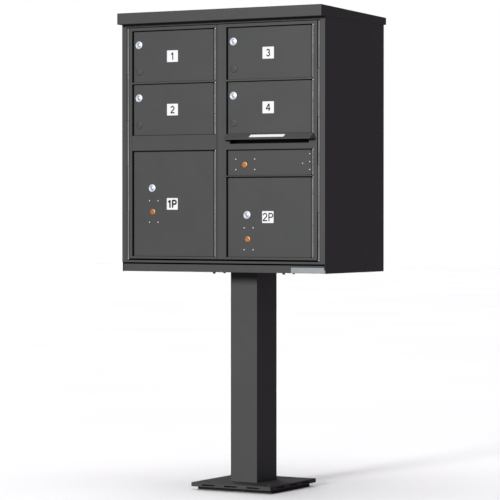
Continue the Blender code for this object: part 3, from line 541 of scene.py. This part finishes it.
def build_pin(node, head_radius):
    """A hinge pin with a domed head at its foot, or an eased plain end where it has none."""
    low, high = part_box(node)
    length = high.z - low.z
    if head_radius > PIN_RADIUS:
        profile = [(0.0, 0.0)]
        profile += [(share * head_radius, height) for share, height in PIN_HEAD_DOME]
        profile += [
            (head_radius, PIN_HEAD_HEIGHT - HINGE_EASE),
            (head_radius - HINGE_EASE, PIN_HEAD_HEIGHT),
            (PIN_RADIUS, PIN_HEAD_HEIGHT),
        ]
    else:
        profile = [(0.0, 0.0), (PIN_RADIUS - HINGE_EASE, 0.0), (PIN_RADIUS, HINGE_EASE)]
    profile += [(PIN_RADIUS, length - HINGE_EASE), (PIN_RADIUS - HINGE_EASE, length), (0.0, length)]
    pin = turned(f"{node}_finish", profile, PIN_STEEL, BODY_OF[node], (0, 0, 0))
    middle = (low + high) / 2
    stand_up(pin, (middle.x, middle.y, low.z))
    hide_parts(node)


def build_hinges():
    """The two master hinges and the seven doors' hinges, with their four pins."""
    for side in ("left", "right"):
        low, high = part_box(f"{side}_master_frame")
        dress_hinge(f"{side}_master_hinge", low.z, high.z, "cabinet", f"{side}_master_door")
        build_pin(f"{side}_master_pin", PIN_HEAD_RADIUS)
        build_pin(f"{side}_column_pin", PIN_RADIUS)
    for joint in frame["joints"]:
        door = joint["child"]
        if door in NODES:
            low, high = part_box(door)
            dress_hinge(joint["name"], low.z, high.z, joint["parent"], door)


# ---------------------------------------------------------------- locks
# turned faces, from the front: (radius, depth) in mm
BEZEL_FACE = (
    (6.45, 0.8),
    (6.7, 0.15),
    (7.1, 0.0),
    (10.4, 0.0),
    (10.8, 0.22),
    (11.2, 0.22),
    (11.6, 0.02),
    (12.5, 0.08),
    (13.2, 0.4),
    (13.65, 1.0),
    (13.65, 2.25),
    (9.3, 2.25),
)
ROTOR_FACE = ((0.0, 0.0), (5.2, 0.0), (5.9, 0.25), (6.2, 0.7))
CARRIER_FACE = (
    (0.0, 0.35),
    (5.4, 0.35),
    (5.9, 0.0),
    (7.2, 0.0),
    (7.6, 0.3),
    (10.2, 0.35),
    (10.8, 0.7),
    (11.0, 1.2),
    (11.0, 3.7),
    (7.0, 3.7),
)
HOLE_PLUG_FACE = (
    (0.0, 0.0),
    (11.3, 0.02),
    (12.2, 0.12),
    (12.9, 0.42),
    (13.3, 0.9),
    (13.45, 1.6),
    (9.0, 1.6),
)

BARREL_END_EASE = 0.4 * MM
NUT_RADIUS = 12.8 * MM
NUT_BORE = 9.32 * MM
NUT_THICK = 2.3 * MM
NUT_SETBACK = 5.25 * MM
# where the cutter of a nut's bore starts and ends along Y
NUT_CUT = (-5 * MM, 8 * MM)

# keyway, the dark sheet that paints the shade inside it, and slit: width, height and corner radius
KEYWAY = (1.7 * MM, 7.0 * MM, 0.8 * MM)
KEYWAY_DROP = 1.9 * MM
KEYWAY_DEPTH = 5.0 * MM
SHADE_SHEET = (1.6 * MM, 6.9 * MM, 0.75 * MM)
# the painted shade sheet's thickness, and how far behind the plug's face it stands
SHADE_SHEET_THICK = 0.4 * MM
SHADE_SHEET_SETBACK = 1.1 * MM
SLIT = (9.6 * MM, 1.6 * MM, 0.75 * MM)
SLIT_DEPTH = 2.2 * MM
# how far a cutter starts in front of the face that it opens
CUT_START = 1 * MM

# a cam and its place: its front and the turned plug's back are measured from the CAD plug's back end
CAM_HALF = 6.0 * MM
CAM_TIP_SHARE = 0.6
CAM_THICK = 1.75 * MM
CAM_ROOM = 1.85 * MM
ROTOR_CUTBACK = 1.9 * MM

# fastener heads: domed ones on the carrier locks' brackets, and screws on the outgoing door
HEAD_CROWN = 0.9 * MM
STUD_PROUD = 0.8 * MM
STUD_RADIUS = 3.25 * MM
STUD_HEIGHT = 2.1 * MM
SCREW_PROUD = 1.25 * MM
SCREW_RADIUS = 3.0 * MM
SCREW_HEIGHT = 1.2 * MM


def face_profile(face):
    """A face's points in metres."""
    return [(radius * MM, depth * MM) for radius, depth in face]


def shank(face, length):
    """A solid profile that goes straight back from a face to its end, at the face's last radius."""
    points = face_profile(face)
    return points + [(points[-1][0], length), (0.0, length)]


def half_circle(radius, z, start, steps):
    """Points on half a circle about (0, z), anticlockwise from start in degrees."""
    angles = [math.radians(start + 180 * k / steps) for k in range(steps + 1)]
    return [(radius * math.cos(angle), z + radius * math.sin(angle)) for angle in angles]


def build_cam(name, axis, start_y, tip_z, body):
    """A flat bar with round ends, from the plug's axis up to its tip."""
    length, tip = tip_z - axis.z, CAM_HALF * CAM_TIP_SHARE
    outline = half_circle(CAM_HALF, 0, 180, 12) + half_circle(tip, length - tip, 0, 8)
    mesh = extruded(outline, CAM_THICK)
    piece = new_piece(name, mesh, STUD_STEEL, body, (axis.x, start_y, axis.z))
    round_edges(piece, SMALL_EDGE)


def opening(size, depth, drop=0.0):
    """A cutter for an opening in a plug's face, its middle a drop below the axis."""
    mesh = extruded(plate_outline(*size), CUT_START + depth)
    bmesh.ops.translate(mesh, vec=(0, -CUT_START, -drop), verts=mesh.verts)
    return mesh


def build_key_housing(lock, axis, depth):
    """The bezel and barrel, and the hexagon nut that holds them behind the door."""
    body = BODY_OF[lock]
    bezel = face_profile(BEZEL_FACE)
    bore, barrel = bezel[0][0], bezel[-1][0]
    bezel += [(barrel, depth - BARREL_END_EASE), (barrel - BARREL_END_EASE, depth), (bore, depth)]
    housing = turned(f"{lock}_housing", bezel, CHROME, body, axis, closed_ring=True)
    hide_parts(lock)
    nut_place = (axis.x, axis.y + NUT_SETBACK, axis.z)
    mesh = extruded(hexagon(NUT_RADIUS), NUT_THICK)
    nut = new_piece(f"{lock}_nut", mesh, STUD_STEEL, body, nut_place)
    cut_with(nut, cylinder_mesh(NUT_BORE, *NUT_CUT))
    round_edges(nut, SMALL_EDGE)


def build_key_lock(lock):
    """A bezel, barrel and nut, and a plug with its keyway, a dark sheet in the keyway as painted shade of
    the bore, and its cam.
    """
    low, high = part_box(lock)
    plug_low, plug_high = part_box(f"{lock}_plug")
    turn = joint_place(f"{lock}_turn")
    build_key_housing(lock, Vector((turn.x, low.y, turn.z)), high.y - low.y)

    body = BODY_OF[f"{lock}_plug"]
    place = Vector((turn.x, plug_low.y, turn.z))
    face = shank(ROTOR_FACE, plug_high.y - plug_low.y - ROTOR_CUTBACK)
    plug = turned(f"{lock}_rotor", face, CHROME, body, place)
    cut_with(plug, opening(KEYWAY, KEYWAY_DEPTH, KEYWAY_DROP))
    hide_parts(f"{lock}_plug")
    # painted shade: a dark sheet just inside the keyway stands in for the shade deep in the bore
    shade_sheet = extruded(plate_outline(*SHADE_SHEET), SHADE_SHEET_THICK)
    shade_sheet_place = place + Vector((0, SHADE_SHEET_SETBACK, -KEYWAY_DROP))
    new_piece(f"{lock}_shutter", shade_sheet, KEYWAY_PAINTED_SHADE, body, shade_sheet_place)
    build_cam(f"{lock}_cam", turn, plug_high.y - CAM_ROOM, plug_high.z, body)


def build_carrier_lock(lock):
    """A brass plug with a slit, and its bracket with four domed studs."""
    turn = joint_place(f"{lock}_turn")
    low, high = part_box(f"{lock}_plug")
    body = BODY_OF[f"{lock}_plug"]
    place = Vector((turn.x, low.y, turn.z))
    profile = shank(CARRIER_FACE, high.y - low.y - ROTOR_CUTBACK)
    plug = turned(f"{lock}_rotor", profile, BRASS, body, place)
    cut_with(plug, opening(SLIT, SLIT_DEPTH))
    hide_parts(f"{lock}_plug")
    build_cam(f"{lock}_cam", turn, high.y - CAM_ROOM, high.z, body)
    bracket = f"{lock}_bracket"
    refine(bracket, SMALL_EDGE, HINGE_STEEL)
    for index, (x, z, front) in enumerate(stud_heads(bracket)):
        stud_place = (x, front - STUD_PROUD, z)
        domed_head(f"{lock}_stud_{index + 1}", stud_place, STUD_RADIUS, STUD_HEIGHT, BODY_OF[bracket])


def stud_heads(node):
    """The X and Z of each of a bracket's four front studs, read from its foremost vertices, and their Y."""
    low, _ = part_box(node)
    near = [v.co for v in NODES[node].data.vertices if v.co.y < low.y + ON_FACE]
    middle = sum(near, Vector()) / len(near)
    heads = []
    for sx in (-1, 1):
        for sz in (-1, 1):
            own = [p for p in near if (p.x - middle.x) * sx > 0 and (p.z - middle.z) * sz > 0]
            xs, zs = [p.x for p in own], [p.z for p in own]
            heads.append(((min(xs) + max(xs)) / 2, (min(zs) + max(zs)) / 2, low.y))
    return heads


def domed_head(name, place, radius, height, body):
    """A low round fastener head, with its rim towards +Y."""
    steps = 6
    profile = []
    for k in range(steps + 1):
        angle = math.radians(90 * k / steps)
        profile.append((radius * math.sin(angle), HEAD_CROWN * (1 - math.cos(angle))))
    profile += [(radius, height), (0.0, height)]
    turned(name, profile, STUD_STEEL, body, place)


def build_hole_plug(node):
    """A snap-in cover: a low, flat-topped button and the shank behind it."""
    low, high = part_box(node)
    middle = (low + high) / 2
    place = (middle.x, low.y, middle.z)
    profile = shank(HOLE_PLUG_FACE, high.y - low.y)
    plug = turned(f"{node}_cap", profile, COAT, BODY_OF[node], place)
    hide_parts(node)


def build_locks():
    """The key locks, the carrier's locks and the plugged holes, found by their nodes' names."""
    for node in sorted(NODES):
        if node.endswith("_bracket"):
            build_carrier_lock(node.removesuffix("_bracket"))
        elif node.startswith(("tenant_lock", "parcel_lock")) and not node.endswith("_plug"):
            build_key_lock(node)
        elif node.startswith("hole_plug"):
            build_hole_plug(node)


# ---------------------------------------------------------------- number plates, label and screws
# the width on which the plates' shares and the screws' insets are laid out, from a door's left edge
DOOR_WIDTH = 307.8 * MM
PLATE_WIDTH = 42.5 * MM
PLATE_HEIGHT = 38.5 * MM
PLATE_THICK = 0.35 * MM
PLATE_CORNER = 1.2 * MM
PLATE_GAP = 0.02 * MM
INK_THICK = 0.1 * MM
LETTER_SPACING = 0.10
ARC_STEPS = 16
# text, door, the plate's centre as a share of the door's width and as a drop below its top,
# the digits' height, and their stroke as a share of that
NUMBERS = (
    ("1", "tenant_door_1", 0.4890, 83.8 * MM, 24.0 * MM, 0.172),
    ("2", "tenant_door_2", 0.4890, 84.2 * MM, 24.0 * MM, 0.172),
    ("3", "tenant_door_3", 0.4880, 83.8 * MM, 24.0 * MM, 0.172),
    ("4", "tenant_door_4", 0.4880, 84.2 * MM, 24.0 * MM, 0.172),
    ("1P", "parcel_door_1", 0.4860, 172.8 * MM, 25.5 * MM, 0.235),
    ("2P", "parcel_door_2", 0.4840, 127.1 * MM, 26.5 * MM, 0.150),
)


def arc(x, z, radius, start, end):
    """Points on an arc about (x, z), with angles in degrees."""
    angles = [math.radians(start + (end - start) * k / ARC_STEPS) for k in range(ARC_STEPS + 1)]
    return [(x + radius * math.cos(angle), z + radius * math.sin(angle)) for angle in angles]


P_BOWL = [(0.10, 0.94)] + arc(0.40, 0.705, 0.235, 90, -90) + [(0.10, 0.47)]
# each character on a body one unit high: its width, and the middle lines of its strokes
CHARACTERS = {
    "1": (0.50, [[(0.30, 0.0), (0.30, 1.0)], [(0.03, 0.72), (0.17, 0.81), (0.28, 0.97)]]),
    "2": (0.70, [arc(0.35, 0.69, 0.25, 172, -32) + [(0.10, 0.11)], [(0.03, 0.06), (0.67, 0.06)]]),
    "3": (0.70, [arc(0.34, 0.735, 0.205, 165, -90), arc(0.34, 0.29, 0.235, 90, -165)]),
    "4": (0.72, [[(0.50, 0.0), (0.50, 1.0)], [(0.46, 0.96), (0.06, 0.33)], [(0.01, 0.31), (0.70, 0.31)]]),
    "P": (0.70, [[(0.10, 0.0), (0.10, 1.0)], P_BOWL]),
}


def ribbon(mesh, line, width):
    """Adds a flat band of one width along a line in X and Z to a bmesh."""
    rails = []
    for index, (x, z) in enumerate(line):
        before, after = line[max(index - 1, 0)], line[min(index + 1, len(line) - 1)]
        along = Vector((after[0] - before[0], 0, after[1] - before[1])).normalized()
        across = Vector((-along.z, 0, along.x)) * width / 2
        middle = Vector((x, 0, z))
        rails.append((mesh.verts.new(middle + across), mesh.verts.new(middle - across)))
    for (one, two), (four, three) in zip(rails, rails[1:]):
        mesh.faces.new((one, two, three, four))


def lettering(text, height, stroke):
    """A bmesh of the text, centred, one ink layer thick behind Y = 0."""
    mesh = bmesh.new()
    total = sum(CHARACTERS[c][0] for c in text) + LETTER_SPACING * (len(text) - 1)
    start = -total / 2
    for character in text:
        width, lines = CHARACTERS[character]
        for line in lines:
            placed = [((start + x) * height, (z - 0.5) * height) for x, z in line]
            ribbon(mesh, placed, stroke * height)
        start += width + LETTER_SPACING
    grown = bmesh.ops.extrude_face_region(mesh, geom=mesh.faces[:])
    moved = [v for v in grown["geom"] if isinstance(v, bmesh.types.BMVert)]
    bmesh.ops.translate(mesh, vec=(0, INK_THICK, 0), verts=moved)
    return mesh


def build_number(text, door, share, drop, height, stroke):
    """A white plate on a door with its dark digits."""
    low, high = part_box(door)
    x = low.x + share * DOOR_WIDTH
    z = high.z - drop
    front = door_face(door) - PLATE_THICK
    outline = plate_outline(PLATE_WIDTH, PLATE_HEIGHT, PLATE_CORNER)
    mesh = extruded(outline, PLATE_THICK - PLATE_GAP)
    plate = new_piece(f"number_plate_{text}", mesh, WHITE_VINYL, door, (x, front, z))
    round_edges(plate, LABEL_EDGE)
    ink = lettering(text, height, stroke)
    ink_place = (x, front - INK_THICK, z)
    new_piece(f"number_digits_{text}", ink, DARK_INK, door, ink_place)


def door_face(door):
    """The Y of a door's front sheet, read at its left edge, away from the barrels that stand prouder."""
    low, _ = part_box(door)
    return min(v.co.y for v in NODES[door].data.vertices if v.co.x < low.x + 1 * MM)


def build_labels():
    """The six number plates, and the blank label on the mail slot's hood."""
    for number in NUMBERS:
        build_number(*number)
    refine("slot_label", LABEL_EDGE, WHITE_VINYL)


# the outgoing door's screws, in mm: inset from its right edge, drop below its top
DOOR_SCREWS = ((4.6, 12.9), (4.6, 38.2), (4.6, 63.5), (31.0, 43.4))


def build_door_screws():
    """The outgoing door's four fastener heads."""
    door = "outgoing_door"
    low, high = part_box(door)
    face = door_face(door)
    for index, (inset, drop) in enumerate(DOOR_SCREWS):
        place = (low.x + DOOR_WIDTH - inset * MM, face - SCREW_PROUD, high.z - drop * MM)
        domed_head(f"outgoing_door_screw_{index + 1}", place, SCREW_RADIUS, SCREW_HEIGHT, door)


# ---------------------------------------------------------------- camera, light and floor
def build_camera():
    data = bpy.data.cameras.new("photo_camera")
    data.lens = CAMERA_LENS
    data.sensor_width = CAMERA_SENSOR
    data.shift_x, data.shift_y = CAMERA_SHIFT
    data.clip_end = CAMERA_REACH
    camera = bpy.data.objects.new("photo_camera", data)
    camera.location = CAMERA_PLACE
    camera.rotation_euler = (math.pi / 2 + CAMERA_PITCH, 0, CAMERA_YAW)
    bpy.context.scene.collection.objects.link(camera)
    bpy.context.scene.camera = camera


def add_sun(name, strength, angle, direction):
    """A soft sun that shines along direction."""
    data = bpy.data.lights.new(name, "SUN")
    data.energy = strength
    data.angle = math.radians(angle)
    sun = bpy.data.objects.new(name, data)
    sun.rotation_mode = "QUATERNION"
    sun.rotation_quaternion = Vector(direction).to_track_quat("-Z", "Y")
    bpy.context.scene.collection.objects.link(sun)
    return sun


def build_world():
    """A dim, even fill, with plain white paper where the camera sees past the floor."""
    world = bpy.data.worlds.new("studio")
    world.use_nodes = True
    tree = world.node_tree
    fill = tree.nodes["Background"]
    fill.inputs["Color"].default_value = FILL_COLOR
    fill.inputs["Strength"].default_value = FILL_STRENGTH
    paper = tree.nodes.new("ShaderNodeBackground")
    paper.inputs["Color"].default_value = PAPER_COLOR
    rays = tree.nodes.new("ShaderNodeLightPath")
    mix = tree.nodes.new("ShaderNodeMixShader")
    tree.links.new(rays.outputs["Is Camera Ray"], mix.inputs["Fac"])
    tree.links.new(fill.outputs[0], mix.inputs[1])
    tree.links.new(paper.outputs[0], mix.inputs[2])
    tree.links.new(mix.outputs[0], tree.nodes["World Output"].inputs["Surface"])
    bpy.context.scene.world = world
    bpy.context.scene.view_settings.view_transform = "Standard"


def build_floor():
    """A pale floor at the part's foot, which reflections and bounced light leave out."""
    mesh = bpy.data.meshes.new("floor")
    grid = bmesh.new()
    bmesh.ops.create_grid(grid, x_segments=8, y_segments=8, size=FLOOR_HALF)
    grid.to_mesh(mesh)
    grid.free()
    s = Shader("pale_floor", Roughness=0.9, Specular_IOR_Level=0.1)
    tone = s.span(s.noise(0.6, 3.0, 0.5), 0.3, 0.7)
    mesh.materials.append(s.finish(s.blend(tone, (0.80, 0.80, 0.80), (0.84, 0.84, 0.84))))
    floor = bpy.data.objects.new("floor", mesh)
    floor.location.z = cad_low.z
    floor.visible_diffuse = False
    floor.visible_glossy = False
    bpy.context.scene.collection.objects.link(floor)
    return floor


def shine_on(sun, pieces):
    """Keeps a sun's light to the given pieces."""
    lit = bpy.data.collections.new(f"{sun.name}_pieces")
    for piece in pieces:
        lit.objects.link(piece)
    sun.light_linking.receiver_collection = lit


def build_lights(floor):
    """A key from the front, a weaker sun from behind, and one each for the floor and the mail slot."""
    add_sun("key", *KEY_SUN)
    add_sun("back", *BACK_SUN)
    shine_on(add_sun("floor_light", *FLOOR_SUN), [floor])
    slope_pieces = [bpy.data.objects[f"{node}_finish"] for node in ("slot_hood", "slot_label")]
    shine_on(add_sun("slope_light", *SLOPE_SUN), slope_pieces)


dress_shell()
build_hinges()
build_locks()
build_labels()
build_door_screws()
build_camera()
build_world()
build_lights(build_floor())
